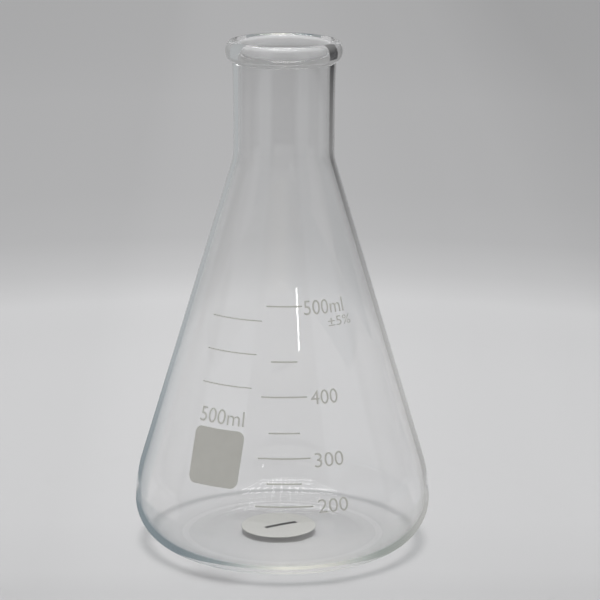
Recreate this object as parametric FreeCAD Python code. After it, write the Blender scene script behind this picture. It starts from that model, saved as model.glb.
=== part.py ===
# Conical laboratory flask of 500 ml, blown in one piece from borosilicate glass, with a fired enamel
# print on its front and a round paper label under its base. Millimetres, +Z up. The origin is the centre
# of the ring that the flask stands on, and the graduated scale faces -Y.
import os

import FreeCAD
import Part

from math import asin, atan2, cos, degrees, hypot, pi, radians, sin, sqrt, tan

# Glass, outside
OVERALL_HEIGHT = 180.0
BODY_DIAMETER = 105.0
NECK_DIAMETER = 35.3
HEEL_RADIUS = 16.2  # from the foot ring up to the widest place
WAIST_RADIUS = 50.0  # from the widest place up into the cone
NECK_LENGTH = 40.8  # from the mouth down to where the cone's line would meet the neck's line
SHOULDER_RADIUS = 13.0
FLARE_LENGTH = 24.0  # from the mouth down; here the neck widens a little towards the bead
FLARE_RADIUS = 350.0

# Glass, thickness
BODY_WALL = 1.6
NECK_WALL = 1.8
FLOOR_WALL = 2.4

# Base
FOOT_RING_WIDTH = 2.5
PUNT_HEIGHT = 2.6  # how far the middle of the base is pushed up
PUNT_EDGE_RADIUS = 40.0  # where the pushed-up middle runs out into the foot ring

# Bead round the mouth
BEAD_DIAMETER = 40.6
BEAD_HEIGHT = 7.1
BEAD_SIDE_RADIUS = 5.0
BEAD_CORNER_RADIUS = 2.2
BEAD_UNDERCUT = 0.8  # the small hollow curve between the bead and the neck

# Enamel print
ENAMEL_THICKNESS = 0.06
SCALE_MIDDLE_ANGLE = 0.0
LINE_WIDTH = 0.5
LONG_LINE_ANGLE = 22.3
SHORT_LINE_ANGLE = 14.0
LONG_LINE_HEIGHTS = (93.4, 63.9, 44.0, 28.4)  # 500, 400, 300 and 200 ml
SHORT_LINE_HEIGHTS = (75.4, 52.2, 35.8)  # 450, 350 and 250 ml
PATCH_MIDDLE_ANGLE = -30.2  # from the scale round to the left, seen from the front
PATCH_WIDTH = 19.2
PATCH_HEIGHT = 18.8
PATCH_MIDDLE_HEIGHT = 42.7
PATCH_CORNER = 2.6
RULE_HEIGHTS = (88.5, 77.5, 66.5)
RULE_LINE_WIDTH = 0.4

# Paper label under the base, and the dark dash on it
LABEL_DIAMETER = 26.5
LABEL_THICKNESS = 0.12
LABEL_GLUE = 0.05  # thickness of the glue between the glass and the paper
LABEL_SIDEWAYS = -1.3  # from the axis
LABEL_BACKWARDS = 2.0
DASH_LENGTH = 12.6
DASH_WIDTH = 2.0
DASH_TURN = 28.5
DASH_SIDEWAYS = 0.8  # from the label's middle
DASH_BACKWARDS = -0.9

# Worked out from the sizes above
BODY_RADIUS = BODY_DIAMETER / 2
NECK_RADIUS = NECK_DIAMETER / 2
BORE_RADIUS = NECK_RADIUS - NECK_WALL
FOOT_OUTER = BODY_RADIUS - HEEL_RADIUS
FOOT_INNER = FOOT_OUTER - FOOT_RING_WIDTH
WAIST_CENTRE = BODY_RADIUS - WAIST_RADIUS
SHOULDER_HEIGHT = OVERALL_HEIGHT - NECK_LENGTH
FLARE_START = OVERALL_HEIGHT - FLARE_LENGTH
DOME_RADIUS = (FOOT_INNER**2 + PUNT_HEIGHT**2) / (2 * PUNT_HEIGHT) - PUNT_EDGE_RADIUS
AXIS = FreeCAD.Vector(0, 0, 1)
ORIGIN = FreeCAD.Vector(0, 0, 0)


def cone_angle():
    """Angle between the cone's line and the axis. The line leaves the neck's at the shoulder height
    and touches the waist arc."""
    across = NECK_RADIUS - WAIST_CENTRE
    up = SHOULDER_HEIGHT - HEEL_RADIUS
    return asin(WAIST_RADIUS / hypot(across, up)) - atan2(across, up)


CONE_ANGLE = cone_angle()


def at(radius, height):
    """A point of the profile."""
    return FreeCAD.Vector(radius, 0, height)


def on_circle(centre, radius, angle):
    return centre + at(radius * cos(angle), radius * sin(angle))


def line(start, end):
    return Part.LineSegment(start, end).toShape()


def arc(centre, radius, first, last):
    """Arc of the profile between two angles above the horizontal."""
    middle = (first + last) / 2
    return Part.Arc(*[on_circle(centre, radius, a) for a in (first, middle, last)]).toShape()


def bearing(centre, target):
    """Angle above the horizontal of the target, seen from the centre."""
    return atan2(target.z - centre.z, target.x - centre.x)


def meeting(first, first_radius, second, second_radius):
    """The lower of the two points where two circles of the profile meet."""
    span = second - first
    along = (first_radius**2 - second_radius**2 + span.Length**2) / (2 * span.Length)
    aside = sqrt(first_radius**2 - along**2)
    unit = span / span.Length
    across = at(-unit.z, unit.x)
    found = [first + unit * along + across * aside, first + unit * along - across * aside]
    return min(found, key=lambda p: p.z)


def punt_curve(depth):
    """The pushed-up middle of the base from the axis to the foot ring, as two arcs. depth is how far
    into the glass it lies: 0 is the outside, and a negative depth lies under the glass."""
    dome_centre = at(0, PUNT_HEIGHT - DOME_RADIUS)
    edge_centre = at(FOOT_INNER, PUNT_EDGE_RADIUS)
    rise = bearing(dome_centre, edge_centre)
    dome = arc(dome_centre, DOME_RADIUS + depth, pi / 2, rise)
    edge = arc(edge_centre, PUNT_EDGE_RADIUS - depth, rise - pi, -pi / 2)
    return [dome, edge]


def wall_curve(radius_of_neck, depth, shoulder_depth):
    """The side from the widest place to the foot of the neck: waist arc, cone and shoulder arc.
    Returns the edges and the height at which the straight neck starts."""
    waist_centre = at(WAIST_CENTRE, HEEL_RADIUS)
    waist = arc(waist_centre, WAIST_RADIUS - depth, 0, CONE_ANGLE)
    cone_start = on_circle(waist_centre, WAIST_RADIUS - depth, CONE_ANGLE)
    corner = cone_start.z + (cone_start.x - radius_of_neck) / tan(CONE_ANGLE)
    shoulder_radius = SHOULDER_RADIUS + shoulder_depth
    reach = shoulder_radius * tan(CONE_ANGLE / 2)
    cone_end = at(radius_of_neck + reach * sin(CONE_ANGLE), corner - reach * cos(CONE_ANGLE))
    shoulder_centre = at(radius_of_neck + shoulder_radius, corner + reach)
    shoulder = arc(shoulder_centre, shoulder_radius, CONE_ANGLE - pi, -pi)
    return [waist, line(cone_start, cone_end), shoulder], corner + reach


def bead_curve(flare_centre):
    """Flare of the neck, undercut and bead, up to the crown of the mouth. Returns the edges and the
    crown's point."""
    side_centre = at(BEAD_DIAMETER / 2 - BEAD_SIDE_RADIUS, OVERALL_HEIGHT - BEAD_HEIGHT / 2)
    rise = BEAD_HEIGHT / 2 - BEAD_CORNER_RADIUS
    across = sqrt((BEAD_SIDE_RADIUS - BEAD_CORNER_RADIUS) ** 2 - rise**2)
    upper = side_centre + at(across, rise)
    lower = side_centre + at(across, -rise)
    lean = bearing(side_centre, upper)
    undercut = meeting(
        flare_centre, FLARE_RADIUS - BEAD_UNDERCUT, lower, BEAD_CORNER_RADIUS + BEAD_UNDERCUT
    )
    flare_end = bearing(flare_centre, undercut) - 2 * pi
    edges = [
        arc(flare_centre, FLARE_RADIUS, -pi, flare_end),
        arc(undercut, BEAD_UNDERCUT, flare_end, bearing(undercut, lower) - 2 * pi),
        arc(lower, BEAD_CORNER_RADIUS, bearing(lower, undercut), -lean),
        arc(side_centre, BEAD_SIDE_RADIUS, -lean, lean),
        arc(upper, BEAD_CORNER_RADIUS, lean, pi / 2),
    ]
    return edges, upper + at(0, BEAD_CORNER_RADIUS)


def glass_profile():
    """Closed outline of half the flask's section."""
    outer_wall, neck_start = wall_curve(NECK_RADIUS, 0, 0)
    inner_wall, bore_start = wall_curve(BORE_RADIUS, BODY_WALL, NECK_WALL)
    flare_centre = at(NECK_RADIUS + FLARE_RADIUS, FLARE_START)
    bead, crown = bead_curve(flare_centre)
    rounding = crown.x - BORE_RADIUS
    bore_end = crown.z - rounding
    inner_heel = HEEL_RADIUS - FLOOR_WALL
    inner_foot = BODY_RADIUS - BODY_WALL - inner_heel
    outside = [
        *punt_curve(0),
        line(at(FOOT_INNER, 0), at(FOOT_OUTER, 0)),
        arc(at(FOOT_OUTER, HEEL_RADIUS), HEEL_RADIUS, -pi / 2, 0),
        *outer_wall,
        line(at(NECK_RADIUS, neck_start), at(NECK_RADIUS, FLARE_START)),
        *bead,
    ]
    inside = [
        arc(at(crown.x, bore_end), rounding, pi / 2, pi),
        line(at(BORE_RADIUS, bore_end), at(BORE_RADIUS, bore_start)),
        *inner_wall,
        arc(at(inner_foot, HEEL_RADIUS), inner_heel, -pi / 2, 0),
        line(at(FOOT_INNER, FLOOR_WALL), at(inner_foot, FLOOR_WALL)),
        *punt_curve(FLOOR_WALL),
        line(at(0, PUNT_HEIGHT), at(0, PUNT_HEIGHT + FLOOR_WALL)),
    ]
    print(f"bore r {BORE_RADIUS:.3f} from z {bore_start:.3f} to {bore_end:.3f}, neck from z {neck_start:.3f}")
    print(f"crown r {crown.x:.3f}, cone angle {degrees(CONE_ANGLE):.3f}, foot {FOOT_INNER:.2f} to {FOOT_OUTER:.2f}")
    return outside + inside


def turned(edges):
    """Solid of revolution about the flask's axis."""
    wire = Part.Wire(Part.__sortEdges__(edges))
    return Part.Face(wire).revolve(ORIGIN, AXIS, 360)


def flask():
    solid = turned(glass_profile())
    return Part.makeSolid(solid.Shells[0]) if solid.ShapeType != "Solid" else solid


def enamel_skin():
    """Thin layer on the whole side of the body, from which the print is cut."""
    under, _ = wall_curve(NECK_RADIUS, 0, 0)
    over, _ = wall_curve(NECK_RADIUS + ENAMEL_THICKNESS, -ENAMEL_THICKNESS, -ENAMEL_THICKNESS)
    waist_under, cone_under, _ = under
    waist_over, cone_over, _ = over
    bottom = line(waist_under.Vertexes[0].Point, waist_over.Vertexes[0].Point)
    top = line(cone_under.Vertexes[-1].Point, cone_over.Vertexes[-1].Point)
    return turned([waist_under, cone_under, top, cone_over, waist_over, bottom])


def outer_radius(height):
    """Radius of the glass at a height on the waist arc or the cone."""
    cone_start = HEEL_RADIUS + WAIST_RADIUS * sin(CONE_ANGLE)
    if height < cone_start:
        return WAIST_CENTRE + sqrt(WAIST_RADIUS**2 - (height - HEEL_RADIUS) ** 2)
    return WAIST_CENTRE + WAIST_RADIUS * cos(CONE_ANGLE) - (height - cone_start) * tan(CONE_ANGLE)


def stamped(skin, width, height, middle_height, angle, corner=0.0):
    """Piece of the enamel skin behind a rectangle that faces outwards at an angle round the axis."""
    block = Part.makeBox(width, BODY_RADIUS * 2, height)
    block.translate(FreeCAD.Vector(-width / 2, -BODY_RADIUS * 2, middle_height - height / 2))
    if corner:
        along = [e for e in block.Edges if abs(e.Length - BODY_RADIUS * 2) < 1e-6]
        block = block.makeFillet(corner, along)
    block.rotate(ORIGIN, AXIS, angle)
    return skin.common(block).Solids[0]


def graduation_lines(skin):
    solids = []
    for heights, angle in ((LONG_LINE_HEIGHTS, LONG_LINE_ANGLE), (SHORT_LINE_HEIGHTS, SHORT_LINE_ANGLE)):
        for height in heights:
            width = 2 * outer_radius(height) * sin(radians(angle / 2))
            solids.append(stamped(skin, width, LINE_WIDTH, height, SCALE_MIDDLE_ANGLE))
    return solids


def marking_patch(skin):
    return [
        stamped(skin, PATCH_WIDTH, PATCH_HEIGHT, PATCH_MIDDLE_HEIGHT, PATCH_MIDDLE_ANGLE, PATCH_CORNER)
    ]


def writing_rules(skin):
    return [
        stamped(skin, PATCH_WIDTH, RULE_LINE_WIDTH, height, PATCH_MIDDLE_ANGLE) for height in RULE_HEIGHTS
    ]


def base_label():
    """Round label stuck to the hollow under the base, and the dash that is printed through it."""
    top = LABEL_GLUE
    bottom = LABEL_GLUE + LABEL_THICKNESS
    middle_line = line(at(0, PUNT_HEIGHT - top), at(0, PUNT_HEIGHT - bottom))
    edge_line = line(at(FOOT_INNER, -top), at(FOOT_INNER, -bottom))
    film = turned([*punt_curve(-top), *punt_curve(-bottom), middle_line, edge_line])
    middle = FreeCAD.Vector(LABEL_SIDEWAYS, LABEL_BACKWARDS, -PUNT_HEIGHT)
    disc = Part.makeCylinder(LABEL_DIAMETER / 2, PUNT_HEIGHT * 3, middle)
    bar = Part.makeBox(DASH_LENGTH, DASH_WIDTH, PUNT_HEIGHT * 3)
    bar.translate(FreeCAD.Vector(-DASH_LENGTH / 2, -DASH_WIDTH / 2, 0))
    bar.rotate(ORIGIN, AXIS, DASH_TURN)
    bar.translate(middle + FreeCAD.Vector(DASH_SIDEWAYS, DASH_BACKWARDS, 0))
    label = film.common(disc)
    return label.cut(bar).Solids, label.common(bar).Solids


def save(name, solids):
    for solid in solids:
        if not solid.isValid() or solid.Volume <= 0:
            raise ValueError(f"{name} has a solid that isn't valid")
    shape = solids[0] if len(solids) == 1 else Part.makeCompound(solids)
    shape.exportStep(os.path.join("parts", name + ".step"))
    print(f"{name}: {len(solids)} solid(s), {sum(s.Volume for s in solids):.2f} mm3")


def main():
    os.makedirs("parts", exist_ok=True)
    skin = enamel_skin()
    label, dash = base_label()
    save("flask", [flask()])
    save("graduation_lines", graduation_lines(skin))
    save("marking_patch", marking_patch(skin))
    save("writing_rules", writing_rules(skin))
    save("base_label", label)
    save("label_dash", dash)


main()
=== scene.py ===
from math import asin, atan2, cos, hypot, pi, radians, sin, sqrt, tan

import bpy
from mathutils import Matrix, Vector


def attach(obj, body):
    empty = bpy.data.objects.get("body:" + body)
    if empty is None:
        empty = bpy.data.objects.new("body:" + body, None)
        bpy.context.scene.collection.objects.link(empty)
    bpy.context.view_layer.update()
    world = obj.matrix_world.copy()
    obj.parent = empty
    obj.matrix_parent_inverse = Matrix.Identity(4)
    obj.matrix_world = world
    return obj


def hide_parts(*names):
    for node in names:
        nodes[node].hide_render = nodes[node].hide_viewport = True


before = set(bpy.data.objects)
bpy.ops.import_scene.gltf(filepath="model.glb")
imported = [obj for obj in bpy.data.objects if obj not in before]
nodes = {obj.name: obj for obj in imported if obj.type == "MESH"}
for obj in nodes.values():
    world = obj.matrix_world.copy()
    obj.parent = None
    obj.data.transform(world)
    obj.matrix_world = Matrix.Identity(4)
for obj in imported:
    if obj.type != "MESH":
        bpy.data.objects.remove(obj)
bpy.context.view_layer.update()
mm = 0.001
print("frame loaded:", ", ".join(sorted(nodes)))


# Small helpers

def toLinear(hexColour):
    # sRGB hex to the linear values that Blender works in
    parts = [int(hexColour[i:i + 2], 16) / 255 for i in (1, 3, 5)]
    return tuple(c / 12.92 if c <= 0.04045 else ((c + 0.055) / 1.055) ** 2.4 for c in parts) + (1.0,)


def addNode(tree, kind, inputs=(), **settings):
    # inputs maps a socket's name or number to a value, or to the output that feeds it
    node = tree.nodes.new(kind)
    for name, value in settings.items():
        setattr(node, name, value)
    for name, value in dict(inputs).items():
        if isinstance(value, bpy.types.NodeSocket):
            tree.links.new(value, node.inputs[name])
        else:
            node.inputs[name].default_value = value
    return node


def newMaterial(name):
    material = bpy.data.materials.new(name)
    material.use_nodes = True
    material.node_tree.nodes.clear()
    return material, material.node_tree


def addRamp(tree, place, stops):
    ramp = addNode(tree, "ShaderNodeValToRGB", {"Fac": place})
    elements = ramp.color_ramp.elements
    while len(elements) < len(stops):
        elements.new(0.5)
    for element, (position, colour) in zip(elements, stops):
        element.position = position
        element.color = colour
    return ramp.outputs["Color"]


def addLevels(tree, place, stops):
    # a ramp whose stops are given in the units of the place
    first, last = stops[0][0], stops[-1][0]
    share = addNode(tree, "ShaderNodeMapRange", {0: place, 1: first, 2: last})
    return addRamp(tree, share.outputs[0], [((x - first) / (last - first), colour) for x, colour in stops])


def setMaterial(piece, material):
    if not piece.material_slots:
        piece.data.materials.append(material)
    for slot in piece.material_slots:
        slot.material = material


def startPiece(name):
    piece = bpy.context.active_object
    piece.name = name
    piece.data.name = name
    return piece


def settle(piece):
    # the object ends at the origin, with its place in its mesh
    bpy.ops.object.select_all(action="DESELECT")
    piece.select_set(True)
    bpy.context.view_layer.objects.active = piece
    bpy.ops.object.transform_apply(location=True, rotation=True, scale=True)


def arcPoints(centre, radius, first, last, count):
    # points of an arc in the section plane, angles in radians above the horizontal
    steps = [first + (last - first) * i / (count - 1) for i in range(count)]
    return [(centre[0] + radius * cos(a), centre[1] + radius * sin(a)) for a in steps]


def straightPoints(start, end, shares):
    return [(start[0] + (end[0] - start[0]) * t, start[1] + (end[1] - start[1]) * t) for t in shares]


# Camera, at the photograph's place: a long lens, a little above the mouth, looking down

cameraSetup = {
    "place": (-10.646, -863.56, 302.64),  # mm
    "down": 13.959,  # degrees below the horizon
    "turn": -1.1,  # degrees about +Z
    "roll": 0.3105,
    "lens": 151.61,
}


def makeCamera(setup):
    data = bpy.data.cameras.new("camera")
    camera = bpy.data.objects.new("camera", data)
    bpy.context.scene.collection.objects.link(camera)
    data.lens = setup["lens"]
    data.sensor_width = 36.0
    data.clip_start, data.clip_end = 0.05, 50.0
    aim = (
        Matrix.Rotation(radians(setup["turn"]), 4, "Z")
        @ Matrix.Rotation(radians(90 - setup["down"]), 4, "X")
        @ Matrix.Rotation(radians(setup["roll"]), 4, "Z")
    )
    camera.matrix_world = Matrix.Translation(Vector(setup["place"]) * mm) @ aim
    bpy.context.scene.camera = camera


makeCamera(cameraSetup)
print("camera placed")


# The flask's section, the same sizes as the solid's, in mm

flaskSize = {
    "height": 180.0,
    "bodyRadius": 52.5,
    "neckRadius": 17.65,
    "heelRadius": 16.2,
    "waistRadius": 50.0,
    "neckLength": 40.8,
    "shoulderRadius": 13.0,
    "flareLength": 24.0,
    "flareRadius": 350.0,
    "bodyWall": 1.6,
    "neckWall": 1.8,
    "floorWall": 2.4,
    "footRingWidth": 2.5,
    "puntHeight": 2.6,
    "puntEdgeRadius": 40.0,
    "beadRadius": 20.3,
    "beadHeight": 7.1,
    "beadSideRadius": 5.0,
    "beadCornerRadius": 2.2,
    "beadUndercut": 0.8,
    "roundSteps": 300,  # steps round the axis
    "weld": 0.002,  # points nearer than this become one
}
waistCentre = flaskSize["bodyRadius"] - flaskSize["waistRadius"]
shoulderHeight = flaskSize["height"] - flaskSize["neckLength"]
coneAngle = asin(
    flaskSize["waistRadius"]
    / hypot(flaskSize["neckRadius"] - waistCentre, shoulderHeight - flaskSize["heelRadius"])
) - atan2(flaskSize["neckRadius"] - waistCentre, shoulderHeight - flaskSize["heelRadius"])
coneStart = flaskSize["heelRadius"] + flaskSize["waistRadius"] * sin(coneAngle)


def outerRadius(height):
    # radius of the glass at a height on the waist or the cone
    if height < coneStart:
        return waistCentre + sqrt(flaskSize["waistRadius"] ** 2 - (height - flaskSize["heelRadius"]) ** 2)
    return waistCentre + flaskSize["waistRadius"] * cos(coneAngle) - (height - coneStart) * tan(coneAngle)


def puntPoints(size, depth):
    footInner = size["bodyRadius"] - size["heelRadius"] - size["footRingWidth"]
    edge = size["puntEdgeRadius"]
    dome = (footInner ** 2 + size["puntHeight"] ** 2) / (2 * size["puntHeight"]) - edge
    domeCentre = (0.0, size["puntHeight"] - dome)
    rise = atan2(edge - domeCentre[1], footInner)
    inner = arcPoints(domeCentre, dome + depth, pi / 2, rise, count=16)
    outer = arcPoints((footInner, edge), edge - depth, rise - pi, -pi / 2, count=12)
    return inner + outer[1:]


def wallPoints(size, neckRadius, depth, shoulderDepth):
    centre = (waistCentre, size["heelRadius"])
    waist = arcPoints(centre, size["waistRadius"] - depth, 0, coneAngle, count=12)
    corner = waist[-1][1] + (waist[-1][0] - neckRadius) / tan(coneAngle)
    bend = size["shoulderRadius"] + shoulderDepth
    reach = bend * tan(coneAngle / 2)
    coneEnd = (neckRadius + reach * sin(coneAngle), corner - reach * cos(coneAngle))
    cone = straightPoints(waist[-1], coneEnd, (0.01, 0.03, 0.1, 0.25, 0.5, 0.75, 0.9, 0.97, 0.99))
    shoulder = arcPoints((neckRadius + bend, corner + reach), bend, coneAngle - pi, -pi, count=9)
    return waist + cone + shoulder, corner + reach


def beadPoints(size):
    flareCentre = (size["neckRadius"] + size["flareRadius"], size["height"] - size["flareLength"])
    sideCentre = (size["beadRadius"] - size["beadSideRadius"], size["height"] - size["beadHeight"] / 2)
    corner = size["beadCornerRadius"]
    rise = size["beadHeight"] / 2 - corner
    across = sqrt((size["beadSideRadius"] - corner) ** 2 - rise ** 2)
    upper = (sideCentre[0] + across, sideCentre[1] + rise)
    lower = (sideCentre[0] + across, sideCentre[1] - rise)
    lean = atan2(rise, across)
    # the undercut's circle touches the flare and the lower corner of the bead
    r1, r2 = size["flareRadius"] - size["beadUndercut"], corner + size["beadUndercut"]
    span = hypot(lower[0] - flareCentre[0], lower[1] - flareCentre[1])
    along = (r1 ** 2 - r2 ** 2 + span ** 2) / (2 * span)
    aside = sqrt(r1 ** 2 - along ** 2)
    ux, uz = (lower[0] - flareCentre[0]) / span, (lower[1] - flareCentre[1]) / span
    foot = (flareCentre[0] + ux * along, flareCentre[1] + uz * along)
    crossings = [(foot[0] - side * uz * aside, foot[1] + side * ux * aside) for side in (1, -1)]
    meet = min(crossings, key=lambda p: p[1])
    flareEnd = atan2(meet[1] - flareCentre[1], meet[0] - flareCentre[0]) - 2 * pi
    turn = atan2(lower[1] - meet[1], lower[0] - meet[0])
    points = arcPoints(flareCentre, size["flareRadius"], -pi, flareEnd, count=8)
    points += arcPoints(meet, size["beadUndercut"], flareEnd + 2 * pi, turn, count=9)[1:]
    points += arcPoints(lower, corner, turn - pi, -lean, count=14)[1:]
    points += arcPoints(sideCentre, size["beadSideRadius"], -lean, lean, count=12)[1:]
    points += arcPoints(upper, corner, lean, pi / 2, count=12)[1:]
    return points


def flaskSection(size):
    footOuter = size["bodyRadius"] - size["heelRadius"]
    outerWall, neckStart = wallPoints(size, size["neckRadius"], 0, 0)
    boreRadius = size["neckRadius"] - size["neckWall"]
    innerWall, boreStart = wallPoints(size, boreRadius, size["bodyWall"], size["neckWall"])
    bead = beadPoints(size)
    rounding = bead[-1][0] - boreRadius
    boreEnd = size["height"] - rounding
    innerHeel = size["heelRadius"] - size["floorWall"]
    innerFoot = size["bodyRadius"] - size["bodyWall"] - innerHeel
    outside = puntPoints(size, 0)
    outside += straightPoints(outside[-1], (footOuter, 0.0), (0.3, 0.7, 1.0))
    outside += arcPoints((footOuter, size["heelRadius"]), size["heelRadius"], -pi / 2, 0, count=28)[1:]
    outside += outerWall[1:]
    outside += straightPoints(outerWall[-1], bead[0], (0.1, 0.5, 0.9)) + bead
    inside = puntPoints(size, size["floorWall"])
    inside += straightPoints(inside[-1], (innerFoot, size["floorWall"]), (0.3, 0.7, 1.0))
    inside += arcPoints((innerFoot, size["heelRadius"]), innerHeel, -pi / 2, 0, count=26)[1:]
    inside += innerWall[1:]
    inside += straightPoints(innerWall[-1], (boreRadius, boreEnd), (0.05, 0.5, 0.95, 1.0))
    inside += arcPoints((bead[-1][0], boreEnd), rounding, pi, pi / 2, count=12)[1:-1]
    return outside + inside[::-1]


def spinFlask(size):
    section = flaskSection(size)
    start = section[0]
    bpy.ops.object.select_all(action="DESELECT")
    bpy.ops.mesh.primitive_plane_add(size=mm, location=(start[0] * mm, 0, start[1] * mm))
    piece = startPiece("flask_glass")
    settle(piece)
    bpy.ops.object.mode_set(mode="EDIT")
    bpy.ops.mesh.select_all(action="SELECT")
    bpy.ops.mesh.merge(type="CENTER")  # one vertex, on the axis under the base
    for before, after in zip(section, section[1:]):
        step = ((after[0] - before[0]) * mm, 0, (after[1] - before[1]) * mm)
        bpy.ops.mesh.extrude_vertices_move(TRANSFORM_OT_translate={"value": step})
    bpy.ops.mesh.select_all(action="SELECT")
    bpy.ops.mesh.spin(steps=size["roundSteps"], angle=2 * pi, center=(0, 0, 0), axis=(0, 0, 1))
    bpy.ops.mesh.select_all(action="SELECT")
    bpy.ops.mesh.remove_doubles(threshold=size["weld"] * mm)
    bpy.ops.mesh.normals_make_consistent(inside=False)
    bpy.ops.object.mode_set(mode="OBJECT")
    bpy.ops.object.shade_smooth()
    return piece


flask = spinFlask(flaskSize)
print("flask spun:", len(flask.data.polygons), "faces")


# Numerals, unit and tolerance, wrapped on the cone

lettering = {
    "lift": 0.01,  # mm from the glass to the underside of the print
    "thickness": 0.05,
    "stroke": -0.004,  # share of the figures' height: a slightly lighter stroke than the font's
    "curveSteps": 6,
    "weld": 0.001,  # mm: points nearer than this become one
    "longEdge": 0.8,  # mm: longer edges are cut, so that they follow the cone
    "edgeCuts": 2,
    "pieces": [
        # name, words, first angle, last angle, lowest and highest level of the figures
        ("numeral_500", "500ml", 12.1, 39.2, 90.5, 95.3),
        ("numeral_400", "400", 12.9, 26.6, 61.3, 66.0),
        ("numeral_300", "300", 12.8, 25.6, 40.9, 45.6),
        ("numeral_200", "200", 13.1, 25.2, 26.0, 30.6),
        ("tolerance", "±5%", 26.9, 42.9, 86.2, 89.3),
        ("capacity", "500ml", -41.5, -18.5, 53.7, 58.7),
    ],
}


def figureHeight():
    # height of the figure 0 at a text size of 1
    bpy.ops.object.text_add()
    sample = bpy.context.active_object
    sample.data.body = "0"
    bpy.context.view_layer.update()
    height = sample.dimensions.y
    bpy.data.objects.remove(sample)
    return height


def makePrint(name, words, first, last, low, high, unit):
    bpy.ops.object.select_all(action="DESELECT")
    bpy.ops.object.text_add()
    piece = startPiece(name)
    middle = (low + high) / 2
    slant = (high - low) / cos(coneAngle)
    piece.data.body = words
    piece.data.size = slant * mm / unit
    piece.data.offset = lettering["stroke"] * slant * mm
    piece.data.extrude = lettering["thickness"] / 2 * mm
    piece.data.resolution_u = lettering["curveSteps"]
    bpy.ops.object.convert(target="MESH")
    width = radians(last - first) * outerRadius(middle) * mm
    xs = [v.co.x for v in piece.data.vertices]
    bpy.ops.object.mode_set(mode="EDIT")
    bpy.ops.mesh.select_all(action="SELECT")
    bpy.ops.mesh.remove_doubles(threshold=lettering["weld"] * mm)
    bpy.ops.mesh.quads_convert_to_tris()
    bpy.ops.mesh.select_all(action="DESELECT")
    bpy.ops.object.mode_set(mode="OBJECT")
    for edge in piece.data.edges:
        ends = [piece.data.vertices[i].co for i in edge.vertices]
        edge.select = (ends[0] - ends[1]).length > lettering["longEdge"] * mm
    bpy.ops.object.mode_set(mode="EDIT")
    bpy.ops.mesh.subdivide(number_cuts=lettering["edgeCuts"])
    bpy.ops.mesh.select_all(action="SELECT")
    bpy.ops.mesh.normals_make_consistent(inside=False)
    bpy.ops.object.mode_set(mode="OBJECT")
    for vertex in piece.data.vertices:
        across = (vertex.co.x - min(xs)) / (max(xs) - min(xs)) * width
        angle = radians(first) + across / (outerRadius(middle) * mm)
        level = low + vertex.co.y / mm * cos(coneAngle)
        above = lettering["lift"] + lettering["thickness"] / 2 + vertex.co.z / mm
        reach = outerRadius(level) + above * cos(coneAngle)
        vertex.co = Vector((reach * sin(angle), -reach * cos(angle), level + above * sin(coneAngle))) * mm
    settle(piece)
    return piece


unitHeight = figureHeight()
prints = [makePrint(*spec, unitHeight) for spec in lettering["pieces"]]
print("lettering wrapped:", len(prints), "pieces")


# Materials

# mm: the label's middle on the underside of the base, its radius, and a level between the base's two faces
gluedPlace = {"middle": (-1.3, 2.0, 2.3), "radius": 13.25, "top": 3.3}


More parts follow.
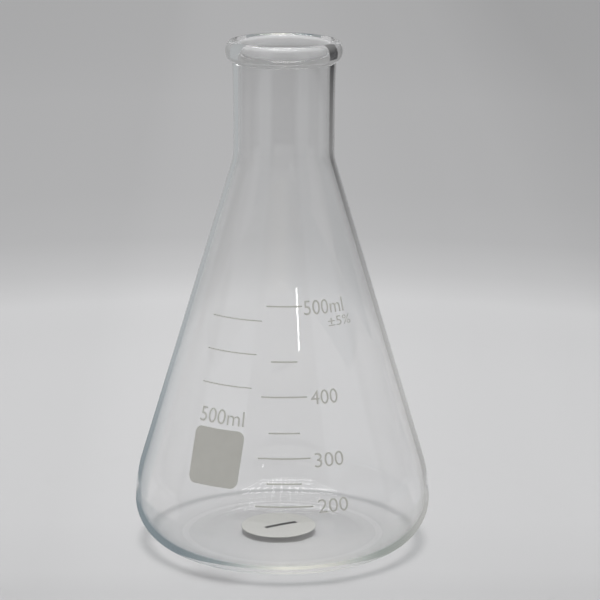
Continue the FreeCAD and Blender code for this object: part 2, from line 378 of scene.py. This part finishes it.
def makeGlass():
    # Borosilicate 3.3 glass, blown in a mould: clear and colourless face on, with a slow waviness from
    # blowing.
    # The grey-green where the eye looks along the wall is painted reflection of the cards and rings round
    # it.
    material, tree = newMaterial("borosilicateGlass")
    place = addNode(tree, "ShaderNodeTexCoord")
    wave = addNode(
        tree, "ShaderNodeTexNoise", {"Vector": place.outputs["Object"], "Scale": 45.0, "Detail": 1.0}
    )
    bump = addNode(
        tree, "ShaderNodeBump", {"Height": wave.outputs["Fac"], "Strength": 0.06, "Distance": 0.25 * mm}
    )
    glass = addNode(
        tree,
        "ShaderNodeBsdfPrincipled",
        {
            "Base Color": toLinear("#FEFEFE"),
            "Roughness": 0.0,
            "IOR": 1.474,
            "Transmission Weight": 1.0,
            "Normal": bump.outputs["Normal"],
        },
    )
    # lamps shine through the wall, and the curve of the heel turns some of their light aside
    slant = addNode(tree, "ShaderNodeLayerWeight", {"Blend": 0.5})
    path = addNode(tree, "ShaderNodeLightPath")
    curved = addNode(
        tree,
        "ShaderNodeMath",
        {0: slant.outputs["Facing"], 1: path.outputs["Is Shadow Ray"]},
        operation="MULTIPLY",
    )
    losses = [(0.20, "#FFFFFF"), (0.32, "#C8CACA"), (0.50, "#D2D4D4"), (0.60, "#FFFFFF")]
    dimmed = addRamp(tree, curved.outputs[0], [(facing, toLinear(c)) for facing, c in losses])
    clear = addNode(tree, "ShaderNodeBsdfTransparent", {"Color": dimmed})
    lamp = addNode(
        tree,
        "ShaderNodeMath",
        {0: path.outputs["Is Shadow Ray"], 1: path.outputs["Is Diffuse Ray"]},
        operation="MAXIMUM",
    )
    # light that has been turned back three times inside the wall leaves it
    trapped = addNode(
        tree, "ShaderNodeMath", {0: path.outputs["Glossy Depth"], 1: 2.5}, operation="GREATER_THAN"
    )
    leaving = addNode(
        tree, "ShaderNodeMath", {0: lamp.outputs[0], 1: trapped.outputs[0]}, operation="MAXIMUM"
    )
    # the label's glue joins its paper to the underside of the base, which doesn't reflect there
    levels = addNode(tree, "ShaderNodeSeparateXYZ", {0: place.outputs["Object"]})
    under = addNode(
        tree,
        "ShaderNodeMath",
        {0: levels.outputs["Z"], 1: gluedPlace["top"] * mm},
        operation="LESS_THAN",
    )
    away = addNode(
        tree,
        "ShaderNodeVectorMath",
        {0: place.outputs["Object"], 1: [c * mm for c in gluedPlace["middle"]]},
        operation="DISTANCE",
    )
    near = addNode(
        tree,
        "ShaderNodeMath",
        {0: away.outputs["Value"], 1: gluedPlace["radius"] * mm},
        operation="LESS_THAN",
    )
    glued = addNode(
        tree, "ShaderNodeMath", {0: under.outputs[0], 1: near.outputs[0]}, operation="MULTIPLY"
    )
    straight = addNode(
        tree, "ShaderNodeMath", {0: leaving.outputs[0], 1: glued.outputs[0]}, operation="MAXIMUM"
    )
    both = addNode(
        tree, "ShaderNodeMixShader", {0: straight.outputs[0], 1: glass.outputs[0], 2: clear.outputs[0]}
    )
    addNode(tree, "ShaderNodeOutputMaterial", {"Surface": both.outputs[0]})
    return material


def makeEnamel():
    # Fired ceramic ink: warm grey, matt, a little uneven from the screen it was printed through.
    material, tree = newMaterial("firedEnamel")
    place = addNode(tree, "ShaderNodeTexCoord")
    cloud = addNode(
        tree, "ShaderNodeTexNoise", {"Vector": place.outputs["Object"], "Scale": 220.0, "Detail": 3.0}
    )
    tone = addNode(
        tree,
        "ShaderNodeMix",
        {0: cloud.outputs["Fac"], 6: toLinear("#BCBBB5"), 7: toLinear("#C6C5BF")},
        data_type="RGBA",
    )
    # the screen's mesh is about 0.1 mm, drawn here as 0.25 mm so that it shows
    grain = addNode(
        tree, "ShaderNodeTexNoise", {"Vector": place.outputs["Object"], "Scale": 4000.0, "Detail": 1.0}
    )
    bump = addNode(
        tree, "ShaderNodeBump", {"Height": grain.outputs["Fac"], "Strength": 0.3, "Distance": 0.02 * mm}
    )
    enamel = addNode(
        tree,
        "ShaderNodeBsdfPrincipled",
        {"Base Color": tone.outputs[2], "Roughness": 0.6, "IOR": 1.5, "Normal": bump.outputs["Normal"]},
    )
    addNode(tree, "ShaderNodeOutputMaterial", {"Surface": enamel.outputs[0]})
    return material


def makePaper():
    # Uncoated white paper, pressed: matt, with faint cloudy fibres.
    material, tree = newMaterial("labelPaper")
    place = addNode(tree, "ShaderNodeTexCoord")
    fibre = addNode(
        tree, "ShaderNodeTexNoise", {"Vector": place.outputs["Object"], "Scale": 900.0, "Detail": 4.0}
    )
    tone = addNode(
        tree,
        "ShaderNodeMix",
        {0: fibre.outputs["Fac"], 6: toLinear("#BDBDB9"), 7: toLinear("#C7C7C3")},
        data_type="RGBA",
    )
    bump = addNode(
        tree, "ShaderNodeBump", {"Height": fibre.outputs["Fac"], "Strength": 0.3, "Distance": 0.03 * mm}
    )
    paper = addNode(
        tree,
        "ShaderNodeBsdfPrincipled",
        {"Base Color": tone.outputs[2], "Roughness": 0.85, "IOR": 1.5, "Normal": bump.outputs["Normal"]},
    )
    addNode(tree, "ShaderNodeOutputMaterial", {"Surface": paper.outputs[0]})
    return material


def makeInk():
    # Black printing ink soaked into the paper: nearly black, slightly mottled.
    material, tree = newMaterial("printingInk")
    place = addNode(tree, "ShaderNodeTexCoord")
    mottle = addNode(
        tree, "ShaderNodeTexNoise", {"Vector": place.outputs["Object"], "Scale": 1500.0, "Detail": 2.0}
    )
    tone = addNode(
        tree,
        "ShaderNodeMix",
        {0: mottle.outputs["Fac"], 6: toLinear("#0C0C0E"), 7: toLinear("#18181A")},
        data_type="RGBA",
    )
    ink = addNode(
        tree, "ShaderNodeBsdfPrincipled", {"Base Color": tone.outputs[2], "Roughness": 0.7, "IOR": 1.5}
    )
    addNode(tree, "ShaderNodeOutputMaterial", {"Surface": ink.outputs[0]})
    return material


glassMaterial = makeGlass()
enamelMaterial = makeEnamel()
setMaterial(flask, glassMaterial)
for piece in prints:
    setMaterial(piece, enamelMaterial)
for name in ("graduation_lines", "marking_patch", "writing_rules"):
    setMaterial(nodes[name], enamelMaterial)
setMaterial(nodes["base_label"], makePaper())
setMaterial(nodes["label_dash"], makeInk())
print("materials made")


# Light tent: floor with painted light and shade, painted reflection cards and rings, world, a lamp and
# painted highlights

studio = {
    "floorRadius": 6.0,
    # distance from the flask's axis in m, and the floor's tone there: its pale colour with the tent's uneven
    # light painted in
    "floorTones": [
        (0.00, "#C8C8C9"),
        (0.12, "#CBCBCC"),
        (0.25, "#CFCFD0"),
        (0.31, "#D0D0D1"),
        (0.36, "#D3D3D4"),
        (0.42, "#C8C8C9"),
        (0.50, "#C0C0C1"),
        (0.62, "#C1C1C2"),
        (0.96, "#CDCDCE"),
        (1.60, "#D5D5D6"),
    ],
    # place across in m, and how bright the floor is there; the same from front to back. Painted shade:
    # darker towards the sides, most to the right
    "across": [
        (-0.22, 0.93),
        (-0.085, 0.95),
        (-0.064, 0.985),
        (-0.045, 1.0),
        (0.0, 1.0),
        (0.055, 0.97),
        (0.075, 0.955),
        (0.095, 0.945),
        (0.115, 0.945),
        (0.13, 0.935),
        (0.15, 0.93),
        (0.18, 0.89),
        (0.23, 0.83),
    ],
    # place from front to back in m, and how bright the floor is there: a painted shadow, darker in front of
    # the flask
    "paintedShadowFrontToBack": [
        (-0.15, 0.86),
        (-0.056, 0.90),
        (-0.036, 0.95),
        (-0.016, 0.965),
        (0.017, 0.995),
        (0.05, 1.0),
    ],
    "skyLight": 0.60,  # what the world gives to matt surfaces
    # what glass and the camera see: a dark room in front, paper that goes on up behind, a white roof above
    "frontTone": "#6A6A6A",
    # axis of the direction, where the tone starts and where it's full
    "directions": [("Y", -0.8, 0.8, "#9C9C9C"), ("Z", 0.45, 0.70, "#8A8A8A"), ("Z", 0.90, 0.95, "#FFFFFF")],
    "lampPower": 5.0,
    "lampSize": 0.2,
    "lampPlace": (0.0, 0.0, 1.0),
    # Painted reflections: glowing cards round the flask, which light nothing and are seen only in
    # reflections, where they draw the dark bands along the glass's edges.
    # name, angle from straight behind, distance, width and height in m, and tones by height in m
    "paintedReflectionCards": [
        ("cardLeft", -50, 0.11, 0.09, 0.20,
         [(0.0, "#828B90"), (0.03, "#90989C"), (0.05, "#A3A9AC"), (0.08, "#AAAEB0"), (0.11, "#ACAFB0")]),
        ("cardRight", 50, 0.11, 0.07, 0.20,
         [(0.0, "#ABABAA"), (0.04, "#B8B8B7"), (0.07, "#AEAEAD"), (0.09, "#A0A0A0"), (0.11, "#8E8E8E"),
          (0.13, "#7A7A7A"), (0.15, "#646464"), (0.17, "#3C3C3E")]),
        ("cardBackLeft", -130, 0.11, 0.08, 0.20, [(0.0, "#8F9496"), (0.1, "#A5A7A8")]),
        ("cardBackRight", 130, 0.11, 0.08, 0.20, [(0.0, "#8F9496"), (0.1, "#A5A7A8")]),
    ],
    # Two rings of the same painted reflection, for the dark band in the heel and the dark sides of the neck:
    # radii below and above in m, heights, and tones by angle from straight behind, None where the ring is
    # left open
    "paintedReflectionRings": [
        ("ringHeel", (0.11, 0.041), (0.0004, 0.0006),
         [(-180, "#E0E0D6"), (-165, "#B8BCBA"), (-150, "#8E9698"), (-125, "#7A8489"), (-90, "#808A8F"),
          (-55, "#808A8F"), (-50, None), (50, None), (55, "#B2B2B0"), (90, "#B0B0AE"), (115, "#9A9E9A"),
          (130, "#969C98"), (145, "#B4B8B4"), (160, "#D0D0C8"), (180, "#E0E0D6")]),
        ("ringFront", (0.45, 0.45), (0.0, 0.20),
         [(-180, "#303030"), (-130, "#343434"), (-100, "#5A5A5A"), (-90, None), (90, None), (100, "#5A5A5A"),
          (130, "#343434"), (180, "#303030")]),
    ],
    # painted highlights: a frame of glowing strips in the roof, which light nothing and show only in
    # reflections, as rows of dots in the back of the heel
    "frameLow": (-0.148, -0.097),
    "frameHigh": (0.100, 0.182),
    "frameHeight": 0.5,
    "ledCount": 14,
    "ledSize": (0.009, 0.070),
    "stripWidth": 0.005,
    "ledStrength": 16.0,
    # a painted highlight: a small glowing patch in front on the right, seen only in reflections, which draws
    # the bright line down the cone
    "glintPlace": (0.1544, -0.5031, 0.257),
    "glintSize": (0.013, 0.035),
    "glintAim": (0.0, 0.0, 0.087),
}


def addStage(name, material):
    piece = startPiece(name)
    setMaterial(piece, material)
    return piece


def makeFloor(setup):
    material, tree = newMaterial("tentFloor")
    place = addNode(tree, "ShaderNodeTexCoord")
    away = addNode(tree, "ShaderNodeVectorMath", {0: place.outputs["Object"]}, operation="LENGTH")
    furthest = setup["floorTones"][-1][0]
    share = addNode(tree, "ShaderNodeMath", {0: away.outputs["Value"], 1: furthest}, operation="DIVIDE")
    tone = addRamp(tree, share.outputs[0], [(d / furthest, toLinear(c)) for d, c in setup["floorTones"]])
    parts = addNode(tree, "ShaderNodeSeparateXYZ", {0: place.outputs["Object"]})
    # painted shade and shadow: the floor's tones are darkened towards the sides and in front of the flask
    for axis, levels in (("X", setup["across"]), ("Y", setup["paintedShadowFrontToBack"])):
        side = addLevels(tree, parts.outputs[axis], [(x, (level, level, level, 1.0)) for x, level in levels])
        both = addNode(
            tree, "ShaderNodeMix", {0: 1.0, 6: tone, 7: side}, data_type="RGBA", blend_type="MULTIPLY"
        )
        tone = both.outputs[2]
    matt = addNode(tree, "ShaderNodeBsdfDiffuse", {"Color": tone})
    addNode(tree, "ShaderNodeOutputMaterial", {"Surface": matt.outputs[0]})
    bpy.ops.object.select_all(action="DESELECT")
    bpy.ops.mesh.primitive_circle_add(
        vertices=128, radius=setup["floorRadius"], fill_type="NGON", location=(0, 0, 0)
    )
    addStage("floor", material)


def reflectedOnly(tree, shine, shown=1.0):
    # shows where light has been reflected at least once, and is clear for all that looks straight at it
    path = addNode(tree, "ShaderNodeLightPath")
    turned = addNode(
        tree, "ShaderNodeMath", {0: path.outputs["Glossy Depth"], 1: 0.5}, operation="GREATER_THAN"
    )
    share = addNode(tree, "ShaderNodeMath", {0: turned.outputs[0], 1: shown}, operation="MULTIPLY")
    clear = addNode(tree, "ShaderNodeBsdfTransparent")
    both = addNode(
        tree, "ShaderNodeMixShader", {0: share.outputs[0], 1: clear.outputs[0], 2: shine.outputs[0]}
    )
    addNode(tree, "ShaderNodeOutputMaterial", {"Surface": both.outputs[0]})


def hideFromFloor(piece):
    piece.visible_diffuse = False
    piece.visible_shadow = False


def makePaintedReflectionCard(name, angle, distance, width, height, tones):
    material, tree = newMaterial(name)
    place = addNode(tree, "ShaderNodeTexCoord")
    parts = addNode(tree, "ShaderNodeSeparateXYZ", {0: place.outputs["Object"]})
    share = addNode(tree, "ShaderNodeMath", {0: parts.outputs["Z"], 1: height}, operation="DIVIDE")
    tone = addRamp(tree, share.outputs[0], [(z / height, toLinear(c)) for z, c in tones])
    # painted reflection: a glowing sheet of these tones, which only reflections show
    shine = addNode(tree, "ShaderNodeEmission", {"Color": tone, "Strength": 1.0})
    reflectedOnly(tree, shine)
    bpy.ops.object.select_all(action="DESELECT")
    bpy.ops.mesh.primitive_plane_add(size=1.0, location=(0, 0, 0))
    reflectionCard = addStage(name, material)
    reflectionCard.scale = (width, height, 1.0)
    reflectionCard.rotation_euler = (radians(90), 0, radians(-angle))
    reflectionCard.location = (distance * sin(radians(angle)), distance * cos(radians(angle)), height / 2)
    settle(reflectionCard)
    hideFromFloor(reflectionCard)


def makePaintedReflectionRing(name, radii, heights, tones):
    material, tree = newMaterial(name)
    place = addNode(tree, "ShaderNodeTexCoord")
    parts = addNode(tree, "ShaderNodeSeparateXYZ", {0: place.outputs["Object"]})
    turn = addNode(
        tree, "ShaderNodeMath", {0: parts.outputs["X"], 1: parts.outputs["Y"]}, operation="ARCTAN2"
    )
    # painted reflection tones by angle, and where the ring shows at all
    paper = [(radians(a), toLinear(c or "#000000")) for a, c in tones]
    closed = [(radians(a), toLinear("#FFFFFF" if c else "#000000")) for a, c in tones]
    tone = addLevels(tree, turn.outputs[0], paper)
    shown = addLevels(tree, turn.outputs[0], closed)
    shine = addNode(tree, "ShaderNodeEmission", {"Color": tone, "Strength": 1.0})
    reflectedOnly(tree, shine, shown)
    bpy.ops.object.select_all(action="DESELECT")
    bpy.ops.mesh.primitive_cone_add(
        vertices=96,
        radius1=radii[0],
        radius2=radii[1],
        depth=heights[1] - heights[0],
        end_fill_type="NOTHING",
        location=(0, 0, sum(heights) / 2),
    )
    reflectionRing = addStage(name, material)
    settle(reflectionRing)
    hideFromFloor(reflectionRing)


def makeWorld(setup):
    world = bpy.data.worlds.new("studioWorld")
    bpy.context.scene.world = world
    world.use_nodes = True
    tree = world.node_tree
    tree.nodes.clear()
    place = addNode(tree, "ShaderNodeTexCoord")
    parts = addNode(tree, "ShaderNodeSeparateXYZ", {0: place.outputs["Generated"]})
    tone = toLinear(setup["frontTone"])
    for axis, first, last, colour in setup["directions"]:
        share = addNode(
            tree,
            "ShaderNodeMapRange",
            {0: parts.outputs[axis], 1: first, 2: last},
            interpolation_type="SMOOTHSTEP",
        )
        mixed = addNode(
            tree, "ShaderNodeMix", {0: share.outputs[0], 6: tone, 7: toLinear(colour)}, data_type="RGBA"
        )
        tone = mixed.outputs[2]
    seen = addNode(tree, "ShaderNodeBackground", {"Color": tone, "Strength": 1.0})
    sky = addNode(tree, "ShaderNodeBackground", {"Color": (1, 1, 1, 1), "Strength": setup["skyLight"]})
    path = addNode(tree, "ShaderNodeLightPath")
    outside = addNode(
        tree,
        "ShaderNodeMath",
        {0: path.outputs["Is Camera Ray"], 1: path.outputs["Is Glossy Ray"]},
        operation="MAXIMUM",
    )
    shown = addNode(
        tree,
        "ShaderNodeMath",
        {0: outside.outputs[0], 1: path.outputs["Is Transmission Ray"]},
        operation="MAXIMUM",
    )
    both = addNode(tree, "ShaderNodeMixShader", {0: shown.outputs[0], 1: sky.outputs[0], 2: seen.outputs[0]})
    addNode(tree, "ShaderNodeOutputWorld", {"Surface": both.outputs[0]})


def makeLamp(name, place, size, power):
    # a lamp aimed at the flask's foot, which glass doesn't show
    data = bpy.data.lights.new(name, "AREA")
    data.shape = "SQUARE"
    data.size = size
    data.energy = power
    lamp = bpy.data.objects.new(name, data)
    bpy.context.scene.collection.objects.link(lamp)
    lamp.location = place
    lamp.rotation_euler = (Vector((0, 0, 0)) - Vector(place)).to_track_quat("-Z", "Y").to_euler()
    lamp.visible_glossy = False
    lamp.visible_transmission = False


def makeStrip(name, middle, size, material, count=1, spacing=0.0):
    # one glowing patch of painted highlight, or a row of them along X
    bpy.ops.object.select_all(action="DESELECT")
    bpy.ops.mesh.primitive_plane_add(size=1.0, location=(0, 0, 0))
    strip = addStage(name, material)
    strip.scale = (size[0], size[1], 1.0)
    strip.location = middle
    settle(strip)
    if count > 1:
        row = strip.modifiers.new("row", "ARRAY")
        row.count = count
        row.use_relative_offset = False
        row.use_constant_offset = True
        row.constant_offset_displace = (spacing, 0, 0)
        bpy.ops.object.modifier_apply(modifier=row.name)
    hideFromFloor(strip)


def makePaintedHighlightFrame(setup, material):
    (left, front), (right, back) = setup["frameLow"], setup["frameHigh"]
    height = setup["frameHeight"]
    count = setup["ledCount"]
    spacing = (right - left) / (count - 1)
    for name, y in (("ledsFront", front), ("ledsBack", back)):
        makeStrip(name, (left, y, height), setup["ledSize"], material, count, spacing)
    for name, x in (("ledsLeft", left), ("ledsRight", right)):
        makeStrip(name, (x, (front + back) / 2, height), (setup["stripWidth"], back - front), material)


def makeGlint(setup, material):
    bpy.ops.object.select_all(action="DESELECT")
    bpy.ops.mesh.primitive_plane_add(size=1.0, location=setup["glintPlace"])
    glint = addStage("paintedGlint", material)
    glint.scale = (*setup["glintSize"], 1.0)
    aim = Vector(setup["glintPlace"]) - Vector(setup["glintAim"])
    glint.rotation_euler = aim.to_track_quat("Z", "Y").to_euler()
    settle(glint)
    hideFromFloor(glint)


def makePaintedHighlightMaterial(strength):
    material, tree = newMaterial("paintedHighlight")
    # painted highlight: a glow that lights nothing, which only reflections show
    shine = addNode(tree, "ShaderNodeEmission", {"Color": (1, 1, 1, 1), "Strength": strength})
    reflectedOnly(tree, shine)
    return material


makeFloor(studio)
for spec in studio["paintedReflectionCards"]:
    makePaintedReflectionCard(*spec)
for spec in studio["paintedReflectionRings"]:
    makePaintedReflectionRing(*spec)
makeWorld(studio)
makeLamp("lampAbove", studio["lampPlace"], studio["lampSize"], studio["lampPower"])
paintedHighlightMaterial = makePaintedHighlightMaterial(studio["ledStrength"])
makePaintedHighlightFrame(studio, paintedHighlightMaterial)
makeGlint(studio, paintedHighlightMaterial)
print("stage and lamps made")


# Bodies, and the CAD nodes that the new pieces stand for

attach(flask, "root")
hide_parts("flask")
for piece in prints:
    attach(piece, "root")

bpy.context.scene.view_settings.view_transform = "Standard"
